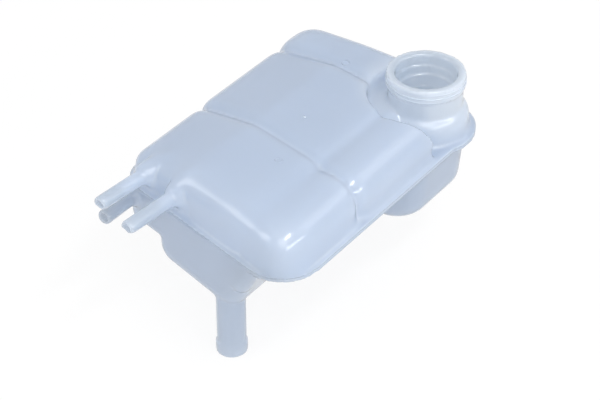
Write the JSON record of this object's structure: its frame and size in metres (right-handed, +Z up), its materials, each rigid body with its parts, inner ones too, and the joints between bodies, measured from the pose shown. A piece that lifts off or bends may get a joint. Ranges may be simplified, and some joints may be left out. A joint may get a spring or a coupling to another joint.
{
  "type": "coolant expansion tank",
  "caption": "Translucent plastic coolant expansion tank of welded half shells, with grooved chambers, an open filler neck, hose nipples and an outlet pipe.",
  "frame": {"origin": "centre of the filler neck's rim", "axes": "+X along the tank to the hose nipples, +Y to the right side beside the neck, +Z up out of the filler neck"},
  "size_m": [0.2495, 0.1748, 0.1283],
  "materials": {
    "shell_plastic": "milky, bluish-white, satin moulded polypropylene"
  },
  "bodies": {
    "root": {"upper_shell": "shell_plastic", "lower_shell": "shell_plastic"}
  },
  "joints": []
}
